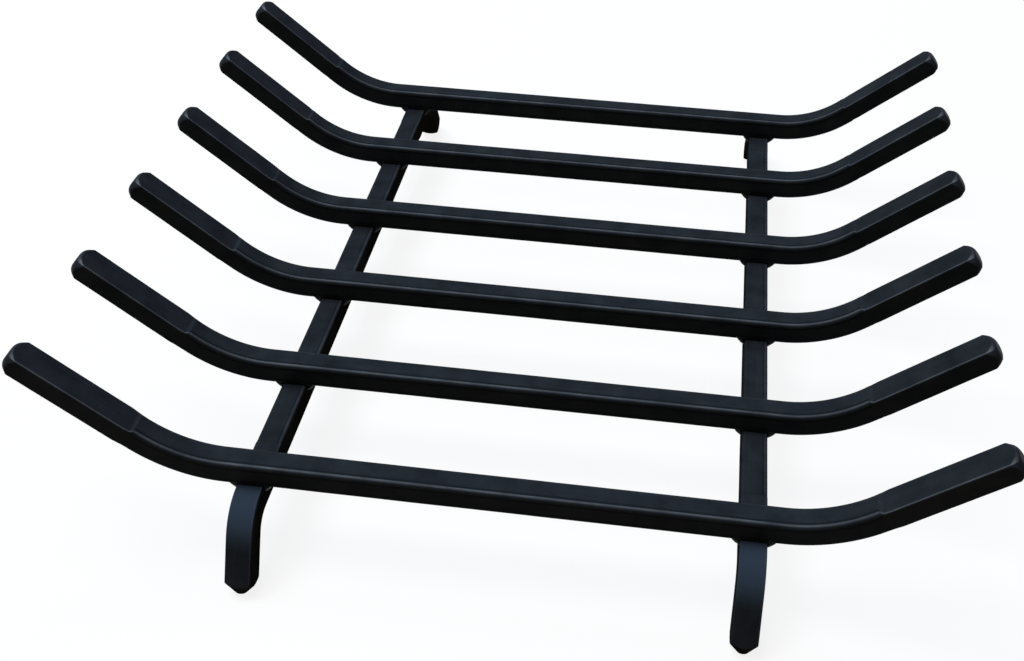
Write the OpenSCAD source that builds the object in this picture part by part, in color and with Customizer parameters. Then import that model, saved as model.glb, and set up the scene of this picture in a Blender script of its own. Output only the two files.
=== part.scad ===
// Log grate: rails of square bar laid across two runners and welded to them.
// Both ends of each rail turn up and hold the logs in. Both ends of each runner turn down as legs.
// X runs along the rails, Y from the front rail to the rear rail, and Z up from the floor.

/* [Rails] */
// Number of rails, counted from the front
rail_count = 6; // [2:1:9]
// Distance between the middles of neighbouring rails
rail_pitch = 90; // [60:1:130]
// Side of the square bar of a rail
rail_bar = 16; // [12:0.5:20]
// Radius of the rolled edges of a rail
rail_edge_r = 2; // [0.8:0.1:3]
// Level length of a rail between its two bends
rail_flat = 332; // [328:1:480]
// Radius of a rail's bends, at the middle of the bar
rail_bend_r = 80; // [40:1:120]
// Angle that the ends of a rail are turned up by
rail_bend_angle = 40.5; // [20:0.5:60]

/* [Arms] */
// Length of an arm, from the end of the bend to its tip
arm_length = 84; // [40:1:140]
// How much wider than the bar the pressed arm is
arm_spread = 1.8; // [0.6:0.1:3]
// How much thinner than the bar the pressed arm is
arm_press = 2; // [0.6:0.1:3]
// Radius of the crisp edges of a pressed arm
arm_edge_r = 0.8; // [0.4:0.1:2]
// Distance from the end of the bend to the die mark
arm_mark_gap = 2.5; // [1:0.5:20]
// Length of the slope that the die mark leaves
arm_mark_slope = 3; // [1:0.5:8]

/* [Arm tips] */
// Radius of the flat left on the tip of an arm
tip_flat_r = 3.4; // [1:0.1:5]
// Angle between the cone cut on a tip and the arm
tip_cone_angle = 35; // [25:1:60]
// Radius that rounds a tip between its flat and its cone
tip_rim_r = 7; // [0.5:0.1:8]

/* [Runners] */
// Side of the square bar of a runner
runner_bar = 16; // [12:0.5:20]
// Radius of the rolled edges of a runner
runner_edge_r = 1.6; // [0.8:0.1:3]
// Distance between the middles of the two runners
runner_spacing = 300; // [120:1:304]
// Distance from an outer rail to the die mark on the runner
runner_mark_gap = 21; // [6:0.5:30]
// Depth of the die mark on the runner
runner_mark_depth = 0.3; // [0.1:0.05:0.6]
// Width of the die mark on the runner
runner_mark_width = 1.8; // [1:0.1:3]

/* [Legs] */
// Radius of the bend above a leg, at the middle of the bar
leg_bend_r = 24; // [12:0.5:60]
// Angle that the legs are turned down by
leg_angle = 60; // [40:0.5:85]
// Length of a leg, from the end of the bend to its tip
leg_length = 36.7; // [20:0.1:120]
// Radius of the crisp edges of a pressed leg
leg_edge_r = 0.8; // [0.4:0.1:2]
// Radius of the flat left on the tip of a leg
foot_flat_r = 2.3; // [1:0.1:4.5]
// Angle between the cone cut on a foot and the leg
foot_cone_angle = 45; // [30:1:60]
// Radius that rounds a foot between its flat and its cone
foot_rim_r = 1.2; // [0.5:0.1:1.5]
// Depth ground off the feet so that they stand level
foot_grind = 1; // [0.3:0.1:2]

/* [Welds] */
// Leg of a fillet weld, up the rail and down the runner
weld_leg = 5.2; // [3:0.1:8]
// How far the centre of a bead's round face lies behind its corner
weld_set_back = 3; // [1:0.1:5]
// Distance that a weld stops short of the rail's sides
weld_inset = 0.6; // [0:0.1:3]
// Number of ripples in a weld
weld_ripples = 6; // [3:1:10]
// Height of a ripple over the valley beside it
weld_ripple_height = 0.35; // [0.1:0.05:0.6]

/* [Hidden] */
$fn = 48;
SIDES = ["left", "right"];
FACES = ["outer", "inner"];

BLACK_COAT = [0.12, 0.13, 0.16];
WELD_COAT = [0.09, 0.095, 0.11];
eps = 0.01;
// The straight bar past a bend is this much slimmer all round, and starts this far inside the bend
bend_ease = 0.02;
bend_lap = 0.5;

arm_width = rail_bar + arm_spread;
arm_thick = rail_bar - arm_press;
arm_start = arm_mark_gap + arm_mark_slope;

// Outer rails, and the level run of a runner between its two bends
rail_y_last = (rail_count - 1) * rail_pitch / 2;
runner_flat = 2 * rail_y_last + rail_bar;
runner_mark_y = rail_y_last - rail_bar / 2 - runner_mark_gap;
// Radius of the round groove that gives the die mark its width and depth
runner_mark_r = (pow(runner_mark_width / 2, 2) + pow(runner_mark_depth, 2)) / (2 * runner_mark_depth);

// Reach of a leg below its bend, at the rounded rim and at the shoulder of its cone
foot_rim_reach = (leg_length - foot_rim_r) * sin(leg_angle) + foot_flat_r * cos(leg_angle) + foot_rim_r;
foot_cone_r = cone_end(foot_flat_r, foot_cone_angle, foot_rim_r);
foot_shoulder = leg_length - (runner_bar / 2 - foot_cone_r) / tan(foot_cone_angle);
foot_shoulder_reach = foot_shoulder * sin(leg_angle) + runner_bar / 2 * cos(leg_angle);
leg_drop = leg_bend_r * (1 - cos(leg_angle)) + max(foot_rim_reach, foot_shoulder_reach);

// Heights of the middle lines over the floor
runner_z = leg_drop - foot_grind;
rail_z = runner_z + runner_bar / 2 + rail_bar / 2;
seat_z = runner_z + runner_bar / 2;

// A weld's round face meets the rail and the runner one weld leg from the corner
weld_r = sqrt(pow(weld_leg + weld_set_back, 2) + pow(weld_set_back, 2));
weld_length = rail_bar - 2 * weld_inset;
weld_step = weld_length / weld_ripples;
// Radius of a ripple's crest, from its width and its height over the valleys
weld_crest_r = (pow(weld_step / 2, 2) + pow(weld_ripple_height, 2)) / (2 * weld_ripple_height);

function weld_name(i, side, face) = str("weld_", i, "_", side, "_", face);
function rail_y(i) = (i - 1) * rail_pitch - rail_y_last;
function runner_x(side) = (side == "left" ? -1 : 1) * runner_spacing / 2;
// Radius of a runner's edges where it passes a given distance from its middle
function runner_edge_at(y) = abs(y) > runner_mark_y ? leg_edge_r : runner_edge_r;
// Radius that an end's cone would have at the flat if the rim between them were sharp
function cone_end(flat_r, cone_angle, rim_r) = flat_r + rim_r * (1 - sin(cone_angle)) / cos(cone_angle);

// Rounded section of a bar: x is across it, y is through its thickness
module bar_section(across, thick, edge_r) {
    square([across - 2 * edge_r, thick], center = true);
    square([across, thick - 2 * edge_r], center = true);
    for (sx = [-1, 1], sy = [-1, 1])
        translate([sx * (across / 2 - edge_r), sy * (thick / 2 - edge_r)])
            circle(r = edge_r);
}

// Straight bar from the origin along +X, with its thickness along Z
module bar_straight(length, across, thick, edge_r) {
    rotate([90, 0, 90])
        linear_extrude(length)
            bar_section(across, thick, edge_r);
}

// Bar from the origin that sets off along +X and bends up towards +Z
module bar_bend(bend_r, angle, across, thick, edge_r) {
    translate([0, 0, bend_r])
        rotate([90, 90, 0])
            rotate_extrude(angle = angle)
                translate([bend_r, 0])
                    bar_section(thick, across, edge_r);
}

// Moves its children from the start of a bend to its end
module past_bend(bend_r, angle) {
    translate([bend_r * sin(angle), 0, bend_r * (1 - cos(angle))])
        rotate([0, -angle, 0])
            children();
}

// Straight bar past the end of a bend, with its lap inside the bend
module bar_past_bend(length, across, thick, edge_r) {
    translate([-bend_lap, 0, 0])
        bar_straight(bend_lap + length, across - 2 * bend_ease, thick - 2 * bend_ease, edge_r);
}

// Room that a bar's cone-cut end keeps to: a flat, a rounded rim and the cone behind it
module end_envelope(length, flat_r, cone_angle, rim_r) {
    rotate([0, 90, 0])
        rotate_extrude() {
            polygon([
                [0, 0],
                [cone_end(flat_r, cone_angle, rim_r) + length * tan(cone_angle), 0],
                [flat_r + rim_r * cos(cone_angle), length - rim_r + rim_r * sin(cone_angle)],
                [flat_r, length],
                [0, length]
            ]);
            intersection() {
                translate([flat_r, length - rim_r])
                    circle(r = rim_r);
                translate([0, length - 2 * rim_r])
                    square([flat_r + rim_r, 2 * rim_r]);
            }
        }
}

// Turned-up end of a rail, from the start of its bend
module rail_end() {
    bar_bend(rail_bend_r, rail_bend_angle, rail_bar, rail_bar, rail_edge_r);
    past_bend(rail_bend_r, rail_bend_angle) {
        pressed_root();
        pressed_arm();
    }
}

// End of the rolled bar, sloping down to the thinner arm at the die mark
module pressed_root() {
    intersection() {
        bar_past_bend(arm_start, rail_bar, rail_bar, rail_edge_r);
        rotate([90, 0, 0])
            linear_extrude(2 * rail_bar, center = true)
                polygon([
                    [-2 * bend_lap, -rail_bar / 2],
                    [arm_mark_gap, -rail_bar / 2],
                    [arm_start + eps, -arm_thick / 2],
                    [arm_start + eps, arm_thick / 2],
                    [arm_mark_gap, rail_bar / 2],
                    [-2 * bend_lap, rail_bar / 2]
                ]);
    }
}

// Arm pressed thinner and wider than the bar, with its cone-cut tip
module pressed_arm() {
    hidden_start = arm_mark_gap / 2;
    hidden_half = rail_bar / 2 - rail_edge_r;
    intersection() {
        bar_straight(arm_length, arm_width, arm_thick, arm_edge_r);
        linear_extrude(2 * rail_bar, center = true)
            polygon([
                [hidden_start, -hidden_half],
                [arm_mark_gap, -rail_bar / 2 + arm_edge_r / 2],
                [arm_start, -arm_width / 2],
                [arm_length + eps, -arm_width / 2],
                [arm_length + eps, arm_width / 2],
                [arm_start, arm_width / 2],
                [arm_mark_gap, rail_bar / 2 - arm_edge_r / 2],
                [hidden_start, hidden_half]
            ]);
        end_envelope(arm_length, tip_flat_r, tip_cone_angle, tip_rim_r);
    }
}

module rail(i) {
    color(BLACK_COAT)
        translate([0, rail_y(i), rail_z]) {
            translate([-rail_flat / 2, 0, 0])
                bar_straight(rail_flat, rail_bar, rail_bar, rail_edge_r);
            for (flip = [0, 1])
                mirror([flip, 0, 0])
                    translate([rail_flat / 2, 0, 0])
                        rail_end();
        }
}

// Turned-down end of a runner, from the die mark outwards
module runner_end() {
    bar_straight(runner_flat / 2 - runner_mark_y, runner_bar, runner_bar, leg_edge_r);
    translate([runner_flat / 2 - runner_mark_y, 0, 0])
        mirror([0, 0, 1]) {
            bar_bend(leg_bend_r, leg_angle, runner_bar, runner_bar, leg_edge_r);
            past_bend(leg_bend_r, leg_angle)
                intersection() {
                    bar_past_bend(leg_length, runner_bar, runner_bar, leg_edge_r);
                    translate([-bend_lap, 0, 0])
                        end_envelope(bend_lap + leg_length, foot_flat_r, foot_cone_angle, foot_rim_r);
                }
        }
}

// Shallow groove that the bending die leaves across the top of a runner
module runner_mark() {
    translate([0, 0, runner_bar / 2 + runner_mark_r - runner_mark_depth])
        rotate([90, 0, 0])
            cylinder(r = runner_mark_r, h = 2 * runner_bar, center = true);
}

module runner(side) {
    color(BLACK_COAT)
        difference() {
            translate([runner_x(side), 0, runner_z])
                rotate([0, 0, 90]) {
                    difference() {
                        union() {
                            translate([-runner_mark_y, 0, 0])
                                bar_straight(2 * runner_mark_y, runner_bar, runner_bar, runner_edge_r);
                            for (flip = [0, 1])
                                mirror([flip, 0, 0])
                                    translate([runner_mark_y, 0, 0])
                                        runner_end();
                        }
                        for (end = [-1, 1])
                            translate([end * runner_mark_y, 0, 0])
                                runner_mark();
                    }
                }
            // The floor takes off what was ground from the feet
            translate([-runner_spacing, -2 * runner_flat, -2 * runner_bar])
                cube([2 * runner_spacing, 4 * runner_flat, 2 * runner_bar]);
        }
}

// One ripple of a weld: a disc with a rounded rim, turned about Y
module weld_ripple(r) {
    rotate([90, 0, 0])
        rotate_extrude() {
            translate([0, -weld_step / 2 - eps])
                square([r - weld_crest_r, weld_step + 2 * eps]);
            intersection() {
                translate([r - weld_crest_r, 0])
                    circle(r = weld_crest_r);
                translate([0, -weld_step / 2 - eps])
                    square([r, weld_step + 2 * eps]);
            }
        }
}

// Fillet weld in the corner under a rail, on one face of a runner
module weld(i, side, face) {
    out = (side == "left" ? -1 : 1) * (face == "outer" ? 1 : -1);
    color(WELD_COAT)
        translate([runner_x(side), rail_y(i), seat_z])
            mirror([out < 0 ? 1 : 0, 0, 0])
                difference() {
                    intersection() {
                        translate([runner_bar / 2 - weld_set_back, 0, weld_set_back])
                            for (k = [0 : weld_ripples - 1])
                                translate([0, (k + 0.5) * weld_step - weld_length / 2, 0])
                                    weld_ripple(weld_r);
                        translate([runner_bar / 2 - runner_edge_r, -weld_length / 2, -weld_leg])
                            cube([runner_edge_r + weld_leg, weld_length, weld_leg + rail_edge_r]);
                    }
                    translate([0, 0, -runner_bar / 2])
                        rotate([0, 0, 90])
                            translate([-rail_bar, 0, 0])
                                bar_straight(2 * rail_bar, runner_bar, runner_bar, runner_edge_at(rail_y(i)));
                    translate([-runner_bar, 0, rail_bar / 2])
                        bar_straight(3 * runner_bar, rail_bar, rail_bar, rail_edge_r);
                }
}

for (i = [1 : rail_count])
    rail(i);

for (side = SIDES)
    runner(side);

for (i = [1 : rail_count], side = SIDES, face = FACES)
    weld(i, side, face);
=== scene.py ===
"""Log grate of black-coated square bar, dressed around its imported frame.

Six bent rails lie over two runners that turn down into legs, and fillet welds join them at every crossing.
Lengths are in metres and angles in radians. X runs along the rails, Y to the rear and Z up.
"""

from math import pi, radians

import bpy
from bpy.props import FloatProperty, FloatVectorProperty, IntProperty, PointerProperty
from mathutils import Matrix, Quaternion, Vector


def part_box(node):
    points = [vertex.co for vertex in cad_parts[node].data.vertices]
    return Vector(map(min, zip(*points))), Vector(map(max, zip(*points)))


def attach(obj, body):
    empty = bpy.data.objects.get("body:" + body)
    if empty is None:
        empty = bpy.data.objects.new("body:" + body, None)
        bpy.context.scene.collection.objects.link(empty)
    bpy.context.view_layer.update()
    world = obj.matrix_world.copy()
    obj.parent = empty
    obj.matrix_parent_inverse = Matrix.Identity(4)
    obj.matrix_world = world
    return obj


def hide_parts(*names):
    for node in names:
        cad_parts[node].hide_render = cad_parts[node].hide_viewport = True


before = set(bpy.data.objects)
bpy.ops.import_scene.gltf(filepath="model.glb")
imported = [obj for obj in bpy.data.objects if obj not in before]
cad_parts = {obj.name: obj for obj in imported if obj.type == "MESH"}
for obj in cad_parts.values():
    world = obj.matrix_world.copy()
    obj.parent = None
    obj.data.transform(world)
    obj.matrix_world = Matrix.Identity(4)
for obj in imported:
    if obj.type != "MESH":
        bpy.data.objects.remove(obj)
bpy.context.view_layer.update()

bl_info = {
    "name": "Log grate",
    "version": (1, 0, 0),
    "blender": (4, 5, 0),
    "location": "View3D > Sidebar > Log Grate",
    "description": "Builds the bars, the welds and the stage of a welded log grate",
    "category": "Add Mesh",
}

MM = 0.001
BODY = "root"
RAIL_NODES = sorted(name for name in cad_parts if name.startswith("rail_"))
RUNNER_NODES = sorted(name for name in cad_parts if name.startswith("runner_"))
WELD_NODES = sorted(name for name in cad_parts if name.startswith("weld_"))

# Mesh steps in the stretches of half a bar, from its middle to the middle of its tip
HALF_BAR_STEPS = {
    "to mark": 90, "over mark": 12, "to crease": 30, "over crease": 5, "down tip": 10, "over flat": 3,
}
STEPS_TO_TIP = sum(HALF_BAR_STEPS.values())
# Power by which the steps of an arm crowd towards its tip
STEP_CROWDING = 1.5

# Mesh steps round a quarter of a bar's section, which is a rolled edge and a face
STEPS_ROUND_EDGE = 6
STEPS_ACROSS_FACE = 6
STEPS_ROUND_QUARTER = STEPS_ROUND_EDGE + STEPS_ACROSS_FACE
# Gap between a rolled edge and the first line of mesh on its face, as a share of the face's other steps
EDGE_GAP = 0.2

# Mesh steps of a weld, along it and round it
WELD_STEPS_ALONG = 72
WELD_STEPS_ROUND = 56

# Points closer than this are one point
MERGE_DISTANCE = 0.001 * MM
# A product of shares under this counts as 0
NEARLY_NOTHING = 1e-4

# How far a rounded crease reaches in over the cone, as a share of its rounding
CREASE_REACH = 0.7
# How far the widening of a pressed arm starts before its die mark, and ends after it
WIDENING_BEFORE = 2 * MM
WIDENING_AFTER = 4 * MM

# A bend's painted highlight, partly thin coating, fades in round its start, and out from before its end to
# after it
BEND_HIGHLIGHT_AT_START = 8 * MM
BEND_HIGHLIGHT_BEFORE_END = 6 * MM
BEND_HIGHLIGHT_AFTER_END = 9 * MM
# Share of the bar's thickness, out from its middle, where the painted highlight on a bend's outside begins
BEND_HIGHLIGHT_DEPTH = 0.3

# Light worn colour laid on, where 1 is a tip's front corner: painted highlight and glint, partly rubbed
# coating
REAR_EDGE_HIGHLIGHT_AND_WEAR = 0.03
FRONT_EDGE_HIGHLIGHT_AND_WEAR = 0.38
CREASE_HIGHLIGHT_AND_WEAR = 0.07
MARK_HIGHLIGHT_AND_WEAR = 0.015
# Shares of it that stay on the edges of a bend, and wherever the bar faces to a side or down
BEND_HIGHLIGHT_AND_WEAR_SHARE = 0.8
LOWER_HIGHLIGHT_AND_WEAR_SHARE = 0.04
# Cosines of the turn from straight up between which the painted highlight and wear of the upper side fades in
UPPER_SIDE = (0.8, 0.93)
# Shares of the way down a tip over which the painted highlight and wear of its crease and of its corner fades
CREASE_FADE = (0, 0.2)
CORNER_FADE = (0.1, 0.5)
# Power by which the painted glint and wear of a corner crowds to the front
CORNER_CROWDING = 5

# The heart of a weld, which its round face is measured from, lies this far out and down from the corner
BEAD_HEART = 1.2 * MM
# How far the hidden sides of a weld lie inside the bars
BEAD_BURY = 0.3 * MM
# Length over which the ends of a weld are rounded
BEAD_END_ROUNDING = 0.9 * MM
# How strongly the ripples are bowed
RIPPLE_BOW = 0.35
# How far the ripples are shifted at most on a weld, as a share of its length
RIPPLE_SHIFT = 0.7
# Power that makes the ripples full and the valleys between them sharp
RIPPLE_FULLNESS = 0.6

# Waves to the metre of the unevenness of bars and welds, and of the shift between welds
BAR_WAVES = 22.0
WELD_WAVES = 420.0
SHIFT_WAVES = 900.0
UNEVENNESS_DETAIL = 2.0

# Waves to the metre of the patterns in the coating, and the layers of finer waves that each holds
POOLING_WAVES = 60.0
POOLING_DETAIL = 3.0
# The grain has few waves along the bar and many across it
GRAIN_WAVES = (18, 420, 420)
GRAIN_DETAIL = 3.0
SCUFF_WAVES = 700.0
SCUFF_DETAIL = 4.0
PEBBLE_WAVES = 1100.0
PEBBLE_DETAIL = 2.0

# Ranges of the patterns over which the coating goes from thick to thin, and the weight of each pattern
POOLING_RANGE = (0.1, 0.9)
POOLING_WEIGHT = 0.88
GRAIN_RANGE = (0.35, 0.65)
GRAIN_WEIGHT = 0.12
# Shares of a face's width, in from the front edge, where a band of painted shade beside the edge's highlight
# starts and ends
BAND_START = (0.03, 0.06)
BAND_END = (0.09, 0.2)
# Share of the painted highlight and wear that shows on thick coating; on thin coating all of it does
HIGHLIGHT_AND_WEAR_ON_THICK = 0.35
# Heights over which the scuff of a foot fades, how ragged its limit is, and how much of it shows
SCUFF_FROM = 0.4 * MM
SCUFF_TO = 2.6 * MM
SCUFF_RAGGEDNESS = 3 * MM
SCUFF_SHARE = 0.8

# How far each pattern changes the roughness of the coating
POOLING_ROUGHNESS = 0.12
GRAIN_ROUGHNESS = 0.10
HIGHLIGHT_AND_WEAR_POLISH = 0.05
SCUFF_ROUGHNESS = 0.25
# Relief of the coating, and the weight of each pattern in it beside the pebbles
COAT_RELIEF = 0.06 * MM
GRAIN_RELIEF = 0.35
POOLING_RELIEF = 0.6

WHITE = (1, 1, 1, 1)
FLOOR_HALF_WIDTH = 40.0
# The floor has faded to the backdrop at this many times its white reach
FADE_TIMES = 4
SOFTBOX_AIM = Vector((0, 0, 0.06))
# Width of the camera's sensor in millimetres, and the nearest that the camera sees
SENSOR_WIDTH = 36.0
NEAREST_SEEN = 0.01


def length(name, description, default):
    """A length that the sidebar shows in the scene's units."""
    return FloatProperty(
        name=name, description=description, default=default, min=0, precision=5, unit="LENGTH"
    )


def angle(name, description, default):
    """An angle that the sidebar shows in degrees."""
    return FloatProperty(name=name, description=description, default=default, unit="ROTATION")


def share(name, description, default):
    """A share from 0 to 1."""
    return FloatProperty(name=name, description=description, default=default, min=0, max=1)


def point(name, description, default):
    """A point in the frame."""
    return FloatVectorProperty(
        name=name, description=description, default=default, size=3, subtype="TRANSLATION", unit="LENGTH"
    )


def colour(name, description, default):
    """A colour without alpha."""
    return FloatVectorProperty(
        name=name, description=description, default=default, size=3, min=0, max=1, subtype="COLOR"
    )


class RailSizes(bpy.types.PropertyGroup):
    """Sizes of a rail, which is level in the middle and turned up at both ends"""

    bar: length("Bar", "Side of the square bar", 16 * MM)
    edge_radius: length("Edge Radius", "Radius of the rolled edges", 2 * MM)
    level_length: length("Level Length", "Length between the two bends", 332 * MM)
    bend_radius: length("Bend Radius", "Radius of a bend at the middle of the bar", 80 * MM)
    bend_angle: angle("Bend Angle", "Angle that the ends are turned up by", radians(40.5))
    end_length: length("End Length", "Length of an arm past its bend", 84 * MM)
    end_width: length("End Width", "Width of a pressed arm", 17.8 * MM)
    end_thickness: length("End Thickness", "Thickness of a pressed arm", 14 * MM)
    end_edge_radius: length("End Edge Radius", "Radius of the crisp edges of an arm", 0.8 * MM)
    mark_gap: length("Mark Gap", "Distance from a bend to the die mark past it", 2.5 * MM)
    mark_length: length("Mark Length", "Length of the slope that the die mark leaves", 3 * MM)
    tip_flat_radius: length("Tip Flat Radius", "Radius of the flat on the tip", 3.4 * MM)
    tip_cone_angle: angle("Tip Cone Angle", "Angle between the cone cut on the tip and the arm", radians(35))
    tip_rim_radius: length("Tip Rim Radius", "Radius between the flat and the cone", 7 * MM)
    crease_rounding: length("Crease Rounding", "Length that is rounded before the cut tip", 0.6 * MM)
    unevenness: length("Unevenness", "How far hand work leaves the faces uneven", 0.25 * MM)


class RunnerSizes(bpy.types.PropertyGroup):
    """Sizes of a runner, which is level under the rails and turned down at both ends as legs"""

    bar: length("Bar", "Side of the square bar", 16 * MM)
    edge_radius: length("Edge Radius", "Radius of the rolled edges", 1.6 * MM)
    level_length: length("Level Length", "Length between the two bends", 466 * MM)
    bend_radius: length("Bend Radius", "Radius of a bend at the middle of the bar", 24 * MM)
    bend_angle: angle("Bend Angle", "Angle that the legs are turned down by", radians(60))
    end_length: length("End Length", "Length of a leg past its bend", 36.7 * MM)
    end_edge_radius: length("End Edge Radius", "Radius of the crisp edges of a leg", 0.8 * MM)
    mark_inset: length("Mark Inset", "Distance from a bend back to the middle of the die mark", 37 * MM)
    mark_depth: length("Mark Depth", "Depth of the die mark", 0.3 * MM)
    mark_width: length("Mark Width", "Width of the die mark", 1.8 * MM)
    tip_flat_radius: length("Tip Flat Radius", "Radius of the flat on the foot", 2.3 * MM)
    tip_cone_angle: angle("Tip Cone Angle", "Angle between the cone cut on the foot and the leg", radians(45))
    tip_rim_radius: length("Tip Rim Radius", "Radius between the flat and the cone", 1.2 * MM)
    crease_rounding: length("Crease Rounding", "Length that is rounded before the cut foot", 0.6 * MM)
    unevenness: length("Unevenness", "How far hand work leaves the faces uneven", 0.25 * MM)


class WeldSizes(bpy.types.PropertyGroup):
    """Sizes of a fillet weld under a rail"""

    leg: length("Leg", "Reach of a bead along the rail and down the runner", 5.2 * MM)
    set_back: length("Set Back", "How far the centre of the round face lies behind the corner", 8 * MM)
    bead_length: length("Bead Length", "Length of a bead across the rail", 14.8 * MM)
    ripples: IntProperty(name="Ripples", description="Number of ripples in a bead", default=9, min=1)
    ripple_height: length("Ripple Height", "Height of a ripple over the valley beside it", 0.28 * MM)
    unevenness: length("Unevenness", "How far hand work leaves the bead uneven", 0.35 * MM)


class CoatColours(bpy.types.PropertyGroup):
    """Colours of the black coating"""

    deep: colour("Deep Coat", "Coating where it lies thick", (0.0098, 0.0119, 0.0158))
    thin: colour("Thin Coat", "Coating where it lies thin", (0.0238, 0.0274, 0.0340))
    # Worn colour: mostly a painted highlight and glint on edges and tip corners, partly coating rubbed thin
    highlight_and_worn: colour("Highlight And Worn Coat", "Coating rubbed thin on the corners of a tip", (0.225, 0.242, 0.270))
    # Drawn colour: a painted highlight on the outside of a bend, partly coating drawn thin
    drawn_and_highlight: colour("Highlight And Drawn Coat", "Coating drawn thin round the outside of a bend", (0.034, 0.049, 0.074))
    sheen: colour("Coat Sheen", "Tint of the light that the coating mirrors", (0.72, 0.86, 1.0))
    scuffed: colour("Scuffed Coat", "Coating scuffed by the hearth", (0.085, 0.072, 0.056))


class StageSettings(bpy.types.PropertyGroup):
    """Floor, surround and camera"""

    floor_colour: colour("Floor", "Colour that the floor throws back on the grate", (0.33, 0.23, 0.11))
    backdrop_colour: colour("Backdrop", "Colour far behind the grate", (0.58, 0.60, 0.62))
    white_reach: length("White Reach", "How far from the grate the floor shows white", 1.2)
    shadow_share: share("Shadow Share", "How much of the shadow shows on the floor", 0.14)
    surround_light: share("Surround Light", "Share of the backdrop's colour that lights the grate", 0.1)
    camera_place: point("Camera Place", "Where the camera stands", (0.0886, -0.6973, 0.5922))
    camera_aim: point("Camera Aim", "Point that the camera looks at", (0.0179, -0.0798, 0.0600))
    camera_roll: angle("Camera Roll", "Turn of the camera about its line of sight", radians(1.38))
    camera_lens: FloatProperty(
        name="Lens", description="Focal length in millimetres on a 36 mm sensor", default=42.45, min=1
    )
    camera_shift: FloatVectorProperty(
        name="Shift", description="Shift of the frame, as a share of its width",
        default=(-0.0481, 0.0079), size=2,
    )


class Field:
    """A number inside a node tree, so that a formula on it is written as plain arithmetic."""

    def __init__(self, tree, socket):
        self.tree = tree
        self.socket = socket

    def math(self, operation, *others):
        """The result of a math node on this field and the others."""
        node = self.tree.nodes.new("ShaderNodeMath")
        node.operation = operation
        for socket, value in zip(node.inputs, (self, *others)):
            feed(self.tree, socket, value)
        return Field(self.tree, node.outputs[0])

    def __add__(self, other):
        return self.math("ADD", other)

    def __sub__(self, other):
        return self.math("SUBTRACT", other)

    def __mul__(self, other):
        return self.math("MULTIPLY", other)

    def __truediv__(self, other):
        return self.math("DIVIDE", other)

    def __rsub__(self, other):
        return self * -1 + other

    def __abs__(self):
        return self.math("ABSOLUTE")

    __radd__ = __add__
    __rmul__ = __mul__

    def sin(self):
        return self.math("SINE")

    def cos(self):
        return self.math("COSINE")

    def tan(self):
        return self.math("TANGENT")

    def root(self):
        return self.math("SQRT")

    def squared(self):
        return self * self

    def floor(self):
        return self.math("FLOOR")

    def sign(self):
        return self.math("SIGN")

    def power(self, exponent):
        return self.math("POWER", exponent)

    def at_least(self, other):
        return self.math("MAXIMUM", other)

    def at_most(self, other):
        return self.math("MINIMUM", other)

    def is_over(self, limit):
        """1 where this field is over the limit, and 0 elsewhere."""
        return self.math("GREATER_THAN", limit)

    def is_under(self, limit):
        """1 where this field is under the limit, and 0 elsewhere."""
        return self.math("LESS_THAN", limit)

    def share(self, start, end):
        """0 up to start, 1 from end on, and even steps between them."""
        return ((self - start) / (end - start)).at_least(0).at_most(1)

    def ease(self, start, end):
        """Like share, with a smooth start and end."""
        part = self.share(start, end)
        return part * part * (3 - part * 2)

    def blend(self, first, second):
        """first where this field is 0 and second where it is 1."""
        return first + (second - first) * self


def feed(tree, socket, value):
    """Links a field or a socket to an input, or sets the input to a plain value."""
    if isinstance(value, Field):
        value = value.socket
    if isinstance(value, bpy.types.NodeSocket):
        tree.links.new(value, socket)
    else:
        socket.default_value = value


def add_node(tree, kind, inputs=None, **settings):
    """A new node with its settings and its inputs, which are named or numbered."""
    node = tree.nodes.new(kind)
    for name, value in settings.items():
        setattr(node, name, value)
    for key, value in (inputs or {}).items():
        feed(tree, node.inputs[key], value)
    return node


def vector(tree, x, y, z):
    """A vector from three numbers or fields."""
    return add_node(tree, "ShaderNodeCombineXYZ", {0: x, 1: y, 2: z}).outputs[0]


def noise(tree, coordinates, waves, detail):
    """Smooth noise between 0 and 1, which is the same at every run."""
    inputs = {"Vector": coordinates, "Scale": waves, "Detail": detail}
    return Field(tree, add_node(tree, "ShaderNodeTexNoise", inputs).outputs[0])


def shape_tree(name, numbers):
    """A geometry tree, its inputs and its sizes. It takes each size, a place, a turn and the coat by name."""
    tree = bpy.data.node_groups.new(name, "GeometryNodeTree")
    tree.interface.new_socket(name="Geometry", in_out="OUTPUT", socket_type="NodeSocketGeometry")
    for words in numbers:
        tree.interface.new_socket(name=words, in_out="INPUT", socket_type="NodeSocketFloat")
    for words in ("Place", "Turn"):
        tree.interface.new_socket(name=words, in_out="INPUT", socket_type="NodeSocketVector")
    tree.interface.new_socket(name="Coat", in_out="INPUT", socket_type="NodeSocketMaterial")
    given = tree.nodes.new("NodeGroupInput").outputs
    return tree, given, {words: Field(tree, given[words]) for words in numbers}


def grid(tree, rows, columns):
    """A grid to be bent into a surface, and the row and column of each of its points."""
    node = add_node(tree, "GeometryNodeMeshGrid", {"Vertices X": rows, "Vertices Y": columns})
    index = Field(tree, add_node(tree, "GeometryNodeInputIndex").outputs[0])
    row = (index / columns + 0.5 / columns).floor()
    return node.outputs["Mesh"], row, index - row * columns


def put(tree, mesh, position):
    """Moves the points of a mesh to the position."""
    return add_node(tree, "GeometryNodeSetPosition", {"Geometry": mesh, "Position": position}).outputs[0]


def store(tree, mesh, name, value, data_type="FLOAT"):
    """Keeps a value on the points of a mesh, for its material to read."""
    inputs = {"Geometry": mesh, "Name": name, "Value": value}
    settings = {"data_type": data_type, "domain": "POINT"}
    return add_node(tree, "GeometryNodeStoreNamedAttribute", inputs, **settings).outputs[0]


def set_in_place(tree, mesh, given):
    """Turns and moves a mesh to its place in the grate."""
    inputs = {"Geometry": mesh, "Translation": given["Place"], "Rotation": given["Turn"]}
    return add_node(tree, "GeometryNodeTransform", inputs).outputs[0]


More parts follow.
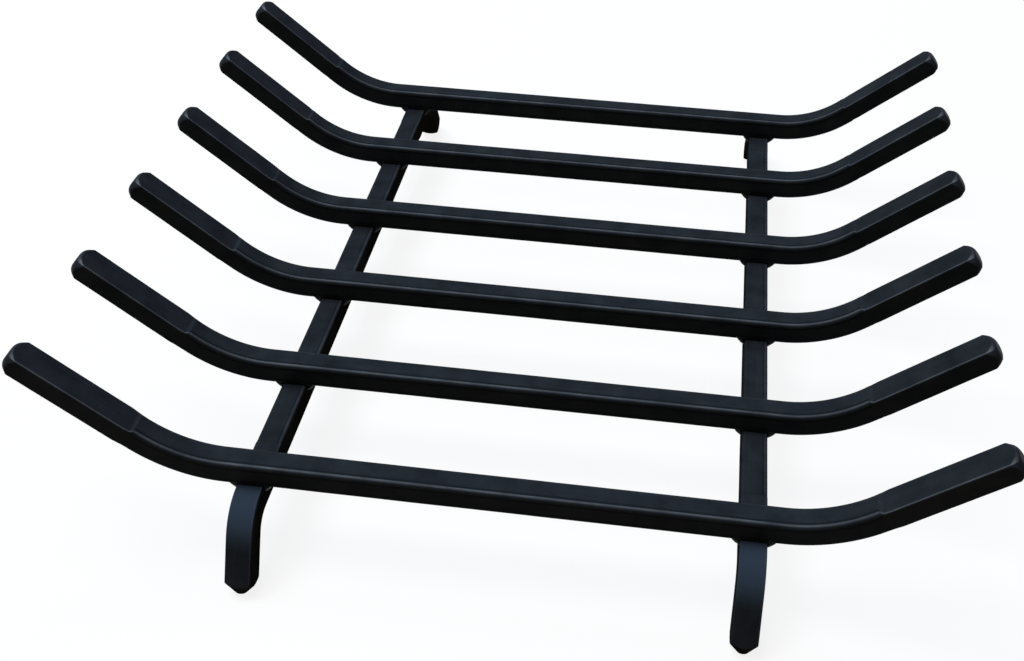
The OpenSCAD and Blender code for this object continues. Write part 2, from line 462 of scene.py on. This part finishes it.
def roughen(tree, mesh, amount, waves):
    """Pushes the points in and out by a fixed noise, as hand work leaves them."""
    here = add_node(tree, "GeometryNodeInputPosition").outputs[0]
    height = (noise(tree, here, waves, UNEVENNESS_DETAIL) - 0.5) * amount
    normal = add_node(tree, "GeometryNodeInputNormal").outputs[0]
    push = add_node(tree, "ShaderNodeVectorMath", {0: normal, "Scale": height}, operation="SCALE")
    inputs = {"Geometry": mesh, "Offset": push.outputs[0]}
    return add_node(tree, "GeometryNodeSetPosition", inputs).outputs[0]


def grind_flat(tree, mesh):
    """Lifts the points that lie below the floor up to it, as a foot is ground flat."""
    here = add_node(tree, "GeometryNodeInputPosition").outputs[0]
    x, y, z = add_node(tree, "ShaderNodeSeparateXYZ", {0: here}).outputs
    return put(tree, mesh, vector(tree, x, y, Field(tree, z).at_least(0)))


def finish_tree(tree, mesh, coat):
    """Closes a mesh, shades it smooth, makes it real and gives it its coat."""
    inputs = {"Geometry": mesh, "Distance": MERGE_DISTANCE}
    mesh = add_node(tree, "GeometryNodeMergeByDistance", inputs).outputs[0]
    mesh = add_node(tree, "GeometryNodeSetShadeSmooth", {"Geometry": mesh}).outputs[0]
    mesh = add_node(tree, "GeometryNodeRealizeInstances", {"Geometry": mesh}).outputs[0]
    mesh = add_node(tree, "GeometryNodeSetMaterial", {"Geometry": mesh, "Material": coat}).outputs[0]
    add_node(tree, "NodeGroupOutput", {"Geometry": mesh})


class SectionLine:
    """A line of mesh along a bar, at its place round the section. A quarter is a rolled edge and a face."""

    def __init__(self, column):
        quarter = (column / STEPS_ROUND_QUARTER).floor()
        step = column - quarter * STEPS_ROUND_QUARTER
        edge_turn = (quarter + 0.5) * radians(90)
        next_turn = edge_turn + radians(90)
        # Turn of the direction that the line faces, from straight up
        self.turn = (quarter + step.share(0, STEPS_ROUND_EDGE)) * radians(90)
        # Share of the face's width that lies behind the line, which is 0 on a rolled edge
        self.across = step.share(STEPS_ROUND_EDGE + 1 - EDGE_GAP, STEPS_ROUND_QUARTER - 1 + EDGE_GAP)
        # Side of the bar that the line is on, from -1 at the bottom to 1 at the top, and the same outwards
        self.upwards = self.across.blend(edge_turn.cos().sign(), next_turn.cos().sign())
        self.outwards = self.across.blend(edge_turn.sin().sign(), next_turn.sin().sign())

    def place(self, width, thickness, edge_radius):
        """How far the line lies out across a bar of these sizes, and up through its thickness."""
        out = self.outwards * (width / 2 - edge_radius) + self.turn.sin() * edge_radius
        up = self.upwards * (thickness / 2 - edge_radius) + self.turn.cos() * edge_radius
        return out, up


def stretches_done(step):
    """The share of each stretch of half a bar that lies behind a step, counted from the bar's middle."""
    done = {}
    first = 0
    for stretch, count in HALF_BAR_STEPS.items():
        done[stretch] = step.share(first, first + count)
        first += count
    return done


def tip_drop(size, reach):
    """How far behind its flat the cut tip lies, at this distance from the middle of the bar."""
    cone = size["Tip Cone Angle"]
    rim_radius = size["Tip Rim Radius"]
    past_flat = (reach - size["Tip Flat Radius"]).at_least(0)
    on_rim = past_flat.at_most(rim_radius * cone.cos())
    rim_drop = rim_radius - (rim_radius.squared() - on_rim.squared()).root()
    return rim_drop + (past_flat - on_rim) / cone.tan()


def down_the_bar(size, done, reach):
    """Distances along the bar before and after its tip is cut, and from the bar's middle out to the line.

    The reach is how far out the line of mesh lies where it meets the cut tip.
    """
    tip = size["Bend Start"] + size["Bend Length"] + size["End Length"]
    crease = tip - tip_drop(size, reach)
    rounding = size["Crease Rounding"]
    rounded_reach = reach - rounding * CREASE_REACH
    rounded_to = tip - tip_drop(size, rounded_reach)

    to_rounding = 1 - (1 - done["to crease"]).power(STEP_CROWDING)
    uncut = size["Change From"] * done["to mark"]
    uncut = uncut + (size["Change To"] - size["Change From"]) * done["over mark"]
    uncut = uncut + (crease - rounding - size["Change To"]) * to_rounding
    turned = done["over crease"].squared()
    along = uncut + rounding * 2 * done["over crease"] - rounding * turned + (rounded_to - crease) * turned

    outwards = done["down tip"].blend(turned.blend(reach, rounded_reach), size["Tip Flat Radius"])
    outwards = outwards * (1 - done["over flat"])
    along = done["down tip"].is_over(0).blend(along, tip - tip_drop(size, outwards))
    return uncut, along, outwards


def die_mark(size, uncut, edge_radius, thickness, up):
    """How deep in the die mark a point is, from 0 at its ends to 1 in its middle, on the top face only."""
    mark = uncut.share(size["Change From"], size["Change To"])
    return mark * (1 - mark) * 4 * up.share(thickness / 2 - edge_radius, thickness / 2)


def bend_point(size, along, up):
    """Where a point of the straight bar comes to lie, along X and up, when the bar is bent."""
    past = along - size["Bend Start"]
    in_bend = past.at_least(0).at_most(size["Bend Length"])
    bend = in_bend / size["Bend Radius"]
    straight = past - in_bend
    middle_x = size["Bend Start"] + size["Bend Radius"] * bend.sin() + straight * bend.cos()
    middle_z = size["Bend Side"] * (size["Bend Radius"] * (1 - bend.cos()) + straight * bend.sin())
    return middle_x - size["Bend Side"] * up * bend.sin(), middle_z + up * bend.cos()


def highlight_and_rubbing(line, done, on_bend, in_mark):
    """How far the light worn colour is laid on: a painted highlight on upper edges, creases and die marks,
    and a painted glint most on a tip's front corners, partly standing for coating rubbed where logs are
    pushed over an edge.

    The front is the side towards -Y before a bar is turned into place.
    """
    near_front = line.outwards.share(1, -1)
    on_edge = (line.across * (1 - line.across)).is_under(NEARLY_NOTHING)
    on_edge = on_edge * (1 - done["down tip"] * 2).at_least(0)
    edge_highlight_and_wear = on_edge * near_front.blend(REAR_EDGE_HIGHLIGHT_AND_WEAR, FRONT_EDGE_HIGHLIGHT_AND_WEAR)
    edge_highlight_and_wear = edge_highlight_and_wear * on_bend.blend(1, BEND_HIGHLIGHT_AND_WEAR_SHARE)
    crease_highlight_and_wear = done["over crease"] * (1 - done["down tip"].share(*CREASE_FADE)) * CREASE_HIGHLIGHT_AND_WEAR
    corner_glint_and_wear = done["over crease"] * (1 - done["down tip"].share(*CORNER_FADE))
    corner_glint_and_wear = corner_glint_and_wear * near_front.power(CORNER_CROWDING)
    highlight_and_wear = edge_highlight_and_wear.at_least(crease_highlight_and_wear).at_least(corner_glint_and_wear).at_least(in_mark * MARK_HIGHLIGHT_AND_WEAR)
    # The painted highlight stays on the upper side, where the light falls, and is faint below
    return highlight_and_wear * line.turn.cos().share(*UPPER_SIDE).blend(LOWER_HIGHLIGHT_AND_WEAR_SHARE, 1)


def bend_highlight_and_thin_coat(size, past, up, thickness):
    """How far a bend's painted highlight is laid on, partly coating drawn thin: on the outside of a bend,
    fading out past both of its ends.
    """
    outside = (size["Bend Side"] * up * -1).share(thickness * BEND_HIGHLIGHT_DEPTH, thickness / 2)
    started = past.ease(-BEND_HIGHLIGHT_AT_START, BEND_HIGHLIGHT_AT_START)
    ended = past.ease(size["Bend Length"] - BEND_HIGHLIGHT_BEFORE_END, size["Bend Length"] + BEND_HIGHLIGHT_AFTER_END)
    return outside * (started * (1 - ended))


BAR_NUMBERS = (
    "Bar", "Edge Radius", "Level Length", "Bend Radius", "Bend Angle", "Bend Side", "End Length", "End Width",
    "End Thickness", "End Edge Radius", "Change From", "Change To", "Mark Depth", "Tip Flat Radius",
    "Tip Cone Angle", "Tip Rim Radius", "Crease Rounding", "Unevenness",
)


def bent_bar_tree():
    """A bar with both ends bent, reshaped past a die mark and cut by a cone at its tips.

    Each line of mesh runs along the bar to the crease where it meets the cut tip, round the crease, down
    the cone and the rim, and over the flat to the middle of the tip.
    """
    tree, given, size = shape_tree("Bent bar", BAR_NUMBERS)
    size["Bend Start"] = size["Level Length"] / 2
    size["Bend Length"] = size["Bend Radius"] * size["Bend Angle"]
    mesh, row, column = grid(tree, 2 * STEPS_TO_TIP + 1, 4 * STEPS_ROUND_QUARTER + 1)
    half = (row - STEPS_TO_TIP).sign()
    done = stretches_done(abs(row - STEPS_TO_TIP))
    line = SectionLine(column)
    end_out, end_up = line.place(size["End Width"], size["End Thickness"], size["End Edge Radius"])
    reach = (end_out.squared() + end_up.squared()).root()
    uncut, along, outwards = down_the_bar(size, done, reach)

    # The section changes over the die mark, which may also be a groove in the top face
    change = uncut.ease(size["Change From"], size["Change To"])
    widening = uncut.ease(size["Change From"] - WIDENING_BEFORE, size["Change To"] + WIDENING_AFTER)
    width = widening.blend(size["Bar"], size["End Width"])
    thickness = change.blend(size["Bar"], size["End Thickness"])
    edge_radius = change.blend(size["Edge Radius"], size["End Edge Radius"])
    out, up = line.place(width, thickness, edge_radius)
    in_mark = die_mark(size, uncut, edge_radius, thickness, up)
    out = out * outwards / reach
    up = (up - size["Mark Depth"] * in_mark) * outwards / reach
    x, z = bend_point(size, along, up)
    mesh = put(tree, mesh, vector(tree, half * x, out, z))

    # What the coat reads: the point on the straight bar, how far its painted highlight and wear is laid on,
    # how far in from a front edge it lies as a share of the face, and how far the painted highlight of its
    # bend is laid on
    past = along - size["Bend Start"]
    on_bend = past.ease(0, size["Bend Length"] / 2) * (1 - change)
    inset = line.across.at_most(1 - line.across) + change + line.outwards.share(0, 1)
    mesh = store(tree, mesh, "straight_bar", vector(tree, half * along, out, up), "FLOAT_VECTOR")
    mesh = store(tree, mesh, "highlight_and_wear", highlight_and_rubbing(line, done, on_bend, in_mark))
    mesh = store(tree, mesh, "inset", inset)
    mesh = store(tree, mesh, "drawn_and_highlight", bend_highlight_and_thin_coat(size, past, up, thickness))

    mesh = set_in_place(tree, mesh, given)
    mesh = roughen(tree, mesh, size["Unevenness"], BAR_WAVES)
    finish_tree(tree, grind_flat(tree, mesh), given["Coat"])
    return tree


WELD_NUMBERS = (
    "Leg", "Set Back", "Bead Length", "Ripples", "Ripple Height", "Rail Half", "Rail Edge Radius", "Side",
    "Unevenness",
)


def weld_tree():
    """A fillet weld in the corner under a rail: a round face with ripples, and rounded ends.

    The corner lies at the origin, with the rail above it and the runner beside it.
    """
    tree, given, size = shape_tree("Fillet weld", WELD_NUMBERS)
    mesh, row, column = grid(tree, WELD_STEPS_ALONG + 1, WELD_STEPS_ROUND + 1)
    along = (row / WELD_STEPS_ALONG - 0.5) * size["Bead Length"]
    turn = column / WELD_STEPS_ROUND * radians(360)
    out = turn.sin()
    up = turn.cos()

    # Distance from the heart of the bead to its round face in this direction
    offset = size["Set Back"] + BEAD_HEART
    face_square = (size["Leg"] + size["Set Back"]).squared() + size["Set Back"].squared()
    lean = (up - out) * offset
    reach = lean + (lean.squared() + face_square - offset * offset * 2).root()

    # Ripples, bowed in the middle of the face, which start at another place on every bead
    shift = noise(tree, given["Place"], SHIFT_WAVES, UNEVENNESS_DETAIL) * RIPPLE_SHIFT
    bow = (out - up).at_least(0) * RIPPLE_BOW
    phase = (along / size["Bead Length"] + shift) * size["Ripples"] + bow
    ripple = ((phase - phase.floor()) * radians(180)).sin().power(RIPPLE_FULLNESS)
    end = (abs(along) - size["Bead Length"] / 2 + BEAD_END_ROUNDING).at_least(0) / BEAD_END_ROUNDING
    taper = (1 - end.squared()).at_least(0).root()
    reach = (reach - size["Ripple Height"] * (1 - ripple)) * taper

    # The hidden sides lie a little inside the two bars, also where the rail's edges are rolled
    past_edge = (abs(along) - size["Rail Half"] + size["Rail Edge Radius"]).at_least(0)
    curve = (size["Rail Edge Radius"].squared() - past_edge.squared()).at_least(0).root()
    lift = size["Rail Edge Radius"] - curve
    x = (out * reach + BEAD_HEART).at_least(-BEAD_BURY) * size["Side"]
    z = (up * reach - BEAD_HEART).at_most(lift + BEAD_BURY)
    mesh = put(tree, mesh, vector(tree, x, along, z))

    mesh = set_in_place(tree, mesh, given)
    mesh = roughen(tree, mesh, size["Unevenness"], WELD_WAVES)
    finish_tree(tree, mesh, given["Coat"])
    return tree


def make_piece(context, name, tree, values):
    """A plain mesh object made by a geometry tree from named values."""
    piece = bpy.data.objects.new(name, bpy.data.meshes.new(name))
    context.scene.collection.objects.link(piece)
    maker = piece.modifiers.new(tree.name, "NODES")
    maker.node_group = tree
    for item in tree.interface.items_tree:
        if item.in_out == "INPUT" and item.name in values:
            maker[item.identifier] = values[item.name]
    made = bpy.data.meshes.new_from_object(piece.evaluated_get(context.evaluated_depsgraph_get()))
    made.name = name
    piece.modifiers.clear()
    piece.data = made
    return piece


def seat(piece, node):
    """Puts a piece in the frame in place of a node, and hides the node."""
    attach(piece, BODY)
    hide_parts(node)


def size_values(sizes):
    """The sizes of a property group by the names that its properties show."""
    properties = sizes.bl_rna.properties
    return {properties[key].name: getattr(sizes, key) for key in sizes.__annotations__}


def middle_of(node):
    """Middle of the box of a node."""
    low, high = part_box(node)
    return (low + high) / 2


def opaque(tint):
    """A colour with full alpha."""
    return (*tint, 1)


def mix_colours(tree, amount, first, second):
    """first where the amount is 0 and second where it is 1."""
    # The node's colours are its inputs 6 and 7 and its output 2
    inputs = {"Factor": amount, 6: first, 7: second}
    return add_node(tree, "ShaderNodeMix", inputs, data_type="RGBA").outputs[2]


def empty_material(name):
    """A material with an empty tree, that tree, and the coordinates of the object in it."""
    material = bpy.data.materials.new(name)
    material.use_nodes = True
    tree = material.node_tree
    tree.nodes.clear()
    return material, tree, add_node(tree, "ShaderNodeTexCoord").outputs["Object"]


def stored(tree, name):
    """A number that a bar keeps on its points. On a weld, which keeps none, it is 0."""
    return Field(tree, add_node(tree, "ShaderNodeAttribute", attribute_name=name).outputs["Fac"])


def drawn_grain(tree):
    """Fine lines along a bar, which follow its bends."""
    straight = add_node(tree, "ShaderNodeAttribute", attribute_name="straight_bar").outputs["Vector"]
    stretched = add_node(tree, "ShaderNodeMapping", {"Vector": straight, "Scale": GRAIN_WAVES}).outputs[0]
    return noise(tree, stretched, 1.0, GRAIN_DETAIL)


def painted_shade_band(tree):
    """1 in the narrow band beside a front edge where the coating has run thick."""
    inset = stored(tree, "inset")
    return inset.share(*BAND_START) * (1 - inset.share(*BAND_END))


def foot_scuff(tree, here):
    """1 where a foot stands on the hearth, with a ragged limit."""
    height = Field(tree, add_node(tree, "ShaderNodeSeparateXYZ", {0: here}).outputs["Z"])
    ragged = (noise(tree, here, SCUFF_WAVES, SCUFF_DETAIL) - 0.5) * SCUFF_RAGGEDNESS
    return 1 - (height + ragged).ease(SCUFF_FROM, SCUFF_TO)


def coat_material(name, colours, gloss, roughness, edge_highlight_and_wear, pebbles, on_bar):
    """Black powder coating that pools and pebbles, with painted highlights on edges, tip corners and bends,
    partly thin or rubbed coating, and a painted shade band beside front edges.
    """
    material, tree, here = empty_material(name)
    pooling = noise(tree, here, POOLING_WAVES, POOLING_DETAIL)
    grain = drawn_grain(tree) if on_bar else pooling
    highlight_and_wear = stored(tree, "highlight_and_wear")
    scuff = foot_scuff(tree, here)

    thinness = pooling.ease(*POOLING_RANGE) * POOLING_WEIGHT + grain.ease(*GRAIN_RANGE) * GRAIN_WEIGHT
    if on_bar:
        # Painted shade: the band beside a front edge is darkened towards the deep coat
        thinness = thinness - painted_shade_band(tree) * edge_highlight_and_wear
    # Painted highlight and glint in the light worn colour, partly rubbed coating
    shown_highlight_and_wear = highlight_and_wear * (HIGHLIGHT_AND_WEAR_ON_THICK + thinness * (1 - HIGHLIGHT_AND_WEAR_ON_THICK)) * edge_highlight_and_wear
    coat = mix_colours(tree, thinness.at_least(0), opaque(colours.deep), opaque(colours.thin))
    # Painted highlight on the outside of a bend, partly coating drawn thin
    coat = mix_colours(tree, stored(tree, "drawn_and_highlight"), coat, opaque(colours.drawn_and_highlight))
    coat = mix_colours(tree, shown_highlight_and_wear, coat, opaque(colours.highlight_and_worn))
    coat = mix_colours(tree, scuff * SCUFF_SHARE, coat, opaque(colours.scuffed))

    rough = roughness + (pooling - 0.5) * POOLING_ROUGHNESS + (grain - 0.5) * GRAIN_ROUGHNESS
    rough = rough - highlight_and_wear * HIGHLIGHT_AND_WEAR_POLISH + scuff * SCUFF_ROUGHNESS
    relief = noise(tree, here, PEBBLE_WAVES, PEBBLE_DETAIL) * pebbles
    relief = relief + grain * GRAIN_RELIEF + pooling * POOLING_RELIEF
    bump = add_node(tree, "ShaderNodeBump", {"Height": relief, "Strength": 1.0, "Distance": COAT_RELIEF})

    shader = add_node(tree, "ShaderNodeBsdfPrincipled", {
        "Base Color": coat,
        "Roughness": rough,
        "Normal": bump.outputs[0],
        "Specular IOR Level": gloss,
        "Specular Tint": opaque(colours.sheen),
    })
    add_node(tree, "ShaderNodeOutputMaterial", {"Surface": shader.outputs[0]})
    return material


class GRATE_OT_rails(bpy.types.Operator):
    """Build the six rails"""

    bl_idname = "grate.rails"
    bl_label = "Rails"

    def execute(self, context):
        sizes = context.scene.grate_rail
        values = size_values(sizes)
        change_from = sizes.level_length / 2 + sizes.bend_radius * sizes.bend_angle + sizes.mark_gap
        values.update({
            "Change From": change_from,
            "Change To": change_from + sizes.mark_length,
            "Bend Side": 1.0,
            "Coat": coat_material(
                "rail_coat", context.scene.grate_coat,
                gloss=0.008, roughness=0.34, edge_highlight_and_wear=1.0, pebbles=0.5, on_bar=True,
            ),
        })
        tree = bent_bar_tree()
        for node in RAIL_NODES:
            place = middle_of(node)
            place.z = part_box(node)[0].z + sizes.bar / 2
            values["Place"] = place
            seat(make_piece(context, "bent_" + node, tree, values), node)
        return {"FINISHED"}


class GRATE_OT_runners(bpy.types.Operator):
    """Build the two runners with their legs"""

    bl_idname = "grate.runners"
    bl_label = "Runners"

    def execute(self, context):
        sizes = context.scene.grate_runner
        values = size_values(sizes)
        mark = sizes.level_length / 2 - sizes.mark_inset
        values.update({
            "End Width": sizes.bar,
            "End Thickness": sizes.bar,
            "Change From": mark - sizes.mark_width / 2,
            "Change To": mark + sizes.mark_width / 2,
            "Bend Side": -1.0,
            "Turn": (0, 0, radians(90)),
            "Coat": coat_material(
                "runner_coat", context.scene.grate_coat,
                gloss=0.0, roughness=0.36, edge_highlight_and_wear=0.3, pebbles=0.5, on_bar=True,
            ),
        })
        tree = bent_bar_tree()
        for node in RUNNER_NODES:
            place = middle_of(node)
            place.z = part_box(node)[1].z - sizes.bar / 2
            values["Place"] = place
            seat(make_piece(context, "bent_" + node, tree, values), node)
        return {"FINISHED"}


class GRATE_OT_welds(bpy.types.Operator):
    """Build the fillet welds at every crossing"""

    bl_idname = "grate.welds"
    bl_label = "Welds"

    def execute(self, context):
        sizes = context.scene.grate_weld
        rail = context.scene.grate_rail
        runner = context.scene.grate_runner
        values = size_values(sizes)
        values.update({
            "Ripples": float(sizes.ripples),
            "Rail Half": rail.bar / 2,
            "Rail Edge Radius": rail.edge_radius,
            "Coat": coat_material(
                "weld_coat", context.scene.grate_coat,
                gloss=0.08, roughness=0.22, edge_highlight_and_wear=0.0, pebbles=0.3, on_bar=False,
            ),
        })
        tree = weld_tree()
        for node in WELD_NODES:
            number, side, face = node.split("_")[1:]
            outwards = (-1 if side == "left" else 1) * (1 if face == "outer" else -1)
            corner = middle_of("runner_" + side)
            corner.x += outwards * runner.bar / 2
            corner.y = middle_of("rail_" + number).y
            corner.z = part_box("runner_" + side)[1].z
            values["Place"] = corner
            values["Side"] = float(outwards)
            seat(make_piece(context, "bead_" + node, tree, values), node)
        return {"FINISHED"}


def seen_by(tree):
    """1 for the rays that show a background: straight, mirrored and through glass."""
    path = add_node(tree, "ShaderNodeLightPath").outputs
    straight, mirrored, through = (
        Field(tree, path[name]) for name in ("Is Camera Ray", "Is Glossy Ray", "Is Transmission Ray")
    )
    return (straight + mirrored + through).at_most(1)


def floor_material(stage):
    """Matt paper that shows white round the grate and pale far away, and keeps a soft shadow.

    The light that it throws back has the floor's own colour. Only the rays that see it find it white.
    """
    material, tree, here = empty_material("floor_paper")
    distance = add_node(tree, "ShaderNodeVectorMath", {0: here}, operation="LENGTH").outputs["Value"]
    far = Field(tree, distance).ease(stage.white_reach, stage.white_reach * FADE_TIMES)
    seen = seen_by(tree)
    paper_colour = mix_colours(tree, seen, opaque(stage.floor_colour), WHITE)
    paper = add_node(tree, "ShaderNodeBsdfDiffuse", {"Color": paper_colour})
    glow_colour = mix_colours(tree, far, WHITE, opaque(stage.backdrop_colour))
    glow = add_node(tree, "ShaderNodeEmission", {"Color": glow_colour})
    glow_share = seen * far.blend(1 - stage.shadow_share, 1)
    mixed = add_node(tree, "ShaderNodeMixShader", {0: glow_share, 1: paper.outputs[0], 2: glow.outputs[0]})
    add_node(tree, "ShaderNodeOutputMaterial", {"Surface": mixed.outputs[0]})
    return material


def add_floor(context, stage):
    """A wide plain floor under the feet."""
    half = FLOOR_HALF_WIDTH
    corners = [(-half, -half, 0), (half, -half, 0), (half, half, 0), (-half, half, 0)]
    mesh = bpy.data.meshes.new("floor")
    mesh.from_pydata(corners, [], [(0, 1, 2, 3)])
    mesh.materials.append(floor_material(stage))
    floor = bpy.data.objects.new("floor", mesh)
    context.scene.collection.objects.link(floor)


def add_surround(context, stage):
    """A plain pale backdrop that gives the grate only a little light."""
    world = bpy.data.worlds.new("surround")
    world.use_nodes = True
    tree = world.node_tree
    background = tree.nodes["Background"]
    feed(tree, background.inputs["Color"], opaque(stage.backdrop_colour))
    feed(tree, background.inputs["Strength"], seen_by(tree).blend(stage.surround_light, 1))
    context.scene.world = world


def aim(thing, at, roll=0.0):
    """Turns a lamp or a camera to look at a point, and then about its line of sight."""
    look = (at - thing.location).to_track_quat("-Z", "Y")
    thing.rotation_mode = "QUATERNION"
    thing.rotation_quaternion = look @ Quaternion((0, 0, 1), roll)


def add_softbox(context, name, place, size, radiance, tint):
    """A soft rectangular light of a given brightness, aimed at the grate."""
    width, depth = size
    light = bpy.data.lights.new(name, "AREA")
    light.shape = "RECTANGLE"
    light.size = width
    light.size_y = depth
    light.energy = radiance * width * depth * pi
    light.color = tint
    lamp = bpy.data.objects.new(name, light)
    lamp.location = place
    aim(lamp, SOFTBOX_AIM)
    context.scene.collection.objects.link(lamp)


def add_camera(context, stage):
    """The camera, standing where the photograph was taken from."""
    data = bpy.data.cameras.new("camera")
    data.lens = stage.camera_lens
    data.sensor_width = SENSOR_WIDTH
    data.shift_x, data.shift_y = stage.camera_shift
    data.clip_start = NEAREST_SEEN
    camera = bpy.data.objects.new("camera", data)
    camera.location = stage.camera_place
    aim(camera, Vector(stage.camera_aim), stage.camera_roll)
    context.scene.collection.objects.link(camera)
    context.scene.camera = camera


class GRATE_OT_stage(bpy.types.Operator):
    """Build the floor, the lights and the camera"""

    bl_idname = "grate.stage"
    bl_label = "Stage"

    def execute(self, context):
        stage = context.scene.grate_stage
        add_floor(context, stage)
        add_surround(context, stage)
        add_softbox(
            context, "left_softbox",
            place=(-1.9, 0.2, 3.8), size=(2.0, 1.4), radiance=11.9, tint=(0.86, 0.94, 1.0),
        )
        add_softbox(
            context, "overhead_softbox",
            place=(-0.6, 0.0, 4.0), size=(2.4, 0.8), radiance=8.6, tint=(1.0, 0.98, 0.95),
        )
        add_softbox(
            context, "rear_softbox",
            place=(-0.6, 2.7, 3.8), size=(4.8, 1.8), radiance=3.4, tint=(0.60, 0.79, 1.0),
        )
        context.scene.view_settings.view_transform = "Standard"
        add_camera(context, stage)
        return {"FINISHED"}


class GRATE_PT_panel(bpy.types.Panel):
    """Sizes, colours and buttons of the log grate"""

    bl_idname = "GRATE_PT_panel"
    bl_label = "Log Grate"
    bl_space_type = "VIEW_3D"
    bl_region_type = "UI"
    bl_category = "Log Grate"

    def draw(self, context):
        for name in SETTINGS:
            settings = getattr(context.scene, name)
            column = self.layout.column()
            for key in settings.__annotations__:
                column.prop(settings, key)
        for operator in OPERATORS:
            self.layout.operator(operator.bl_idname)


SETTINGS = {
    "grate_rail": RailSizes,
    "grate_runner": RunnerSizes,
    "grate_weld": WeldSizes,
    "grate_coat": CoatColours,
    "grate_stage": StageSettings,
}
OPERATORS = (GRATE_OT_rails, GRATE_OT_runners, GRATE_OT_welds, GRATE_OT_stage)


def register():
    for group in SETTINGS.values():
        bpy.utils.register_class(group)
    for name, group in SETTINGS.items():
        setattr(bpy.types.Scene, name, PointerProperty(type=group))
    for operator in OPERATORS:
        bpy.utils.register_class(operator)
    bpy.utils.register_class(GRATE_PT_panel)


def unregister():
    bpy.utils.unregister_class(GRATE_PT_panel)
    for operator in reversed(OPERATORS):
        bpy.utils.unregister_class(operator)
    for name, group in SETTINGS.items():
        delattr(bpy.types.Scene, name)
        bpy.utils.unregister_class(group)


def main():
    register()
    bpy.ops.grate.stage()
    bpy.ops.grate.rails()
    bpy.ops.grate.runners()
    bpy.ops.grate.welds()


if __name__ == "__main__":
    main()
